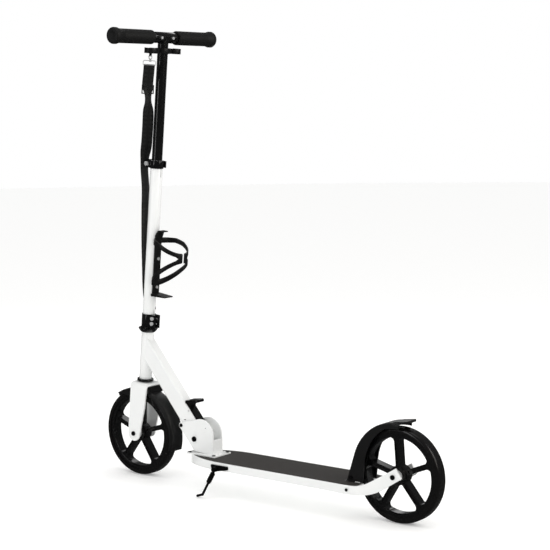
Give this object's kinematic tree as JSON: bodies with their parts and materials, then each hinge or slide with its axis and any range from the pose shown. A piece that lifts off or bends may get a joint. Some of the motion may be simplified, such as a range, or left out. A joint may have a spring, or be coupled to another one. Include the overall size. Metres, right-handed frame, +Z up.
{
  "type": "kick scooter",
  "caption": "Folding big-wheel kick scooter with telescopic steering column, foot brake, kickstand, bottle cage and carry strap.",
  "frame": {"origin": "on the ground, midway between the two axles", "axes": "+X forward, +Y to the rider's left, +Z up"},
  "size_m": [0.9248, 0.33, 1.0275],
  "materials": {
    "white_paint": "gloss",
    "white_deck": "painted, satin",
    "grip_tape": "rough",
    "black_steel": "satin",
    "black_paint": "gloss",
    "black_plastic": "satin",
    "rim_plastic": "satin",
    "tyre": "satin",
    "steel": "satin",
    "grip_rubber": "matte",
    "webbing": "woven"
  },
  "bodies": {
    "deck": {"side_rail_left": "white_paint", "side_rail_right": "white_paint", "deck_plate": "white_deck", "grip_tape": "grip_tape", "cross_members": "white_paint", "front_plate": "white_paint", "fold_bracket": "white_paint", "fold_pivot_bolt": "black_steel", "stop_bolt": "black_steel", "bracket_screws": "black_steel", "kickstand_bracket": "black_steel", "kickstand_bolt": "black_steel", "rail_screws": "black_steel", "rear_axle": "black_steel", "rear_spacers": "steel", "fender_mount": "black_plastic", "fender_pin": "black_steel"},
    "rear_wheel": {"rear_tyre": "tyre", "rear_rim": "rim_plastic", "rear_bearings": "steel"},
    "rear_brake": {"rear_fender": "black_plastic", "brake_shoe": "steel"},
    "kickstand": {"kickstand_leg": "black_steel", "kickstand_collar": "black_steel"},
    "front_frame": {"down_tube": "white_paint", "head_tube": "white_paint", "lower_cup": "black_paint", "upper_cup": "black_paint", "lever_pin": "steel"},
    "latch_lever": {"fold_lever": "black_paint"},
    "steering": {"fork": "white_paint", "steerer": "steel", "front_axle": "black_steel", "front_spacers": "steel", "front_fender": "black_plastic", "headset_nut": "black_paint", "column_tube": "white_paint", "steering_clamp": "black_paint", "clamp_bolts": "steel", "height_clamp": "black_paint", "skewer": "steel", "bottle_cage": "black_plastic", "cage_bolts": "steel", "strap": "webbing"},
    "front_wheel": {"front_tyre": "tyre", "front_rim": "rim_plastic", "front_bearings": "steel"},
    "clamp_lever": {"qr_lever": "black_paint"},
    "stem": {"stem_tube": "black_paint", "bar_sleeve": "black_paint", "clip_holder": "black_plastic", "snap_hook": "steel"},
    "handle_left": {"handle_tube_left": "black_paint", "grip_left": "grip_rubber"},
    "handle_right": {"handle_tube_right": "black_paint", "grip_right": "grip_rubber"},
    "snap_button_left": {"button_left": "steel"},
    "snap_button_right": {"button_right": "steel"}
  },
  "joints": [
    {"name": "rear_wheel_spin", "type": "hinge", "parent": "deck", "child": "rear_wheel", "pos_m": [-0.3624, 0, 0.1], "axis": [0, 1, 0], "continuous": true},
    {"name": "rear_brake_press", "type": "hinge", "parent": "deck", "child": "rear_brake", "pos_m": [-0.255, 0, 0.084], "axis": [0, -1, 0], "range_deg": [0, 2.4], "stiffness_Nm_per_rad": 25, "springref_deg": -1.15},
    {"name": "kickstand_swing", "type": "hinge", "parent": "deck", "child": "kickstand", "pos_m": [0.084, 0.066, 0.061], "axis": [0, 1, 0], "range_deg": [0, 95]},
    {"name": "frame_fold", "type": "hinge", "parent": "deck", "child": "front_frame", "pos_m": [0.185, 0, 0.107], "axis": [0, -1, 0], "range_deg": [0, 84]},
    {"name": "latch_lever_press", "type": "hinge", "parent": "front_frame", "child": "latch_lever", "pos_m": [0.20497, 0, 0.16846], "axis": [0, -1, 0], "range_deg": [0, 7], "stiffness_Nm_per_rad": 2, "springref_deg": -4.58},
    {"name": "steer", "type": "hinge", "parent": "front_frame", "child": "steering", "pos_m": [0.36081, 0, 0.09984], "axis": [-0.0993, 0, 0.9951], "range_deg": [-150, 150]},
    {"name": "front_wheel_spin", "type": "hinge", "parent": "steering", "child": "front_wheel", "pos_m": [0.3624, 0, 0.1], "axis": [0, 1, 0], "continuous": true},
    {"name": "clamp_lever_open", "type": "hinge", "parent": "steering", "child": "clamp_lever", "pos_m": [0.32023, -0.0135, 0.72792], "axis": [-0.0993, 0, 0.9951], "range_deg": [0, 100]},
    {"name": "height_slide", "type": "slide", "parent": "steering", "child": "stem", "axis": [-0.0993, 0, 0.9951], "range_m": [-0.2, 0], "deforming": ["strap"]},
    {"name": "handle_left_pull", "type": "slide", "parent": "stem", "child": "handle_left", "axis": [0, 1, 0], "range_m": [0, 0.05]},
    {"name": "handle_right_pull", "type": "slide", "parent": "stem", "child": "handle_right", "axis": [0, -1, 0], "range_m": [0, 0.05]},
    {"name": "button_left_press", "type": "slide", "parent": "stem", "child": "snap_button_left", "axis": [0.9951, 0, 0.0993], "range_m": [0, 0.002], "stiffness_N_per_m": 500, "springref_m": -0.002},
    {"name": "button_right_press", "type": "slide", "parent": "stem", "child": "snap_button_right", "axis": [0.9951, 0, 0.0993], "range_m": [0, 0.002], "stiffness_N_per_m": 500, "springref_m": -0.002}
  ]
}
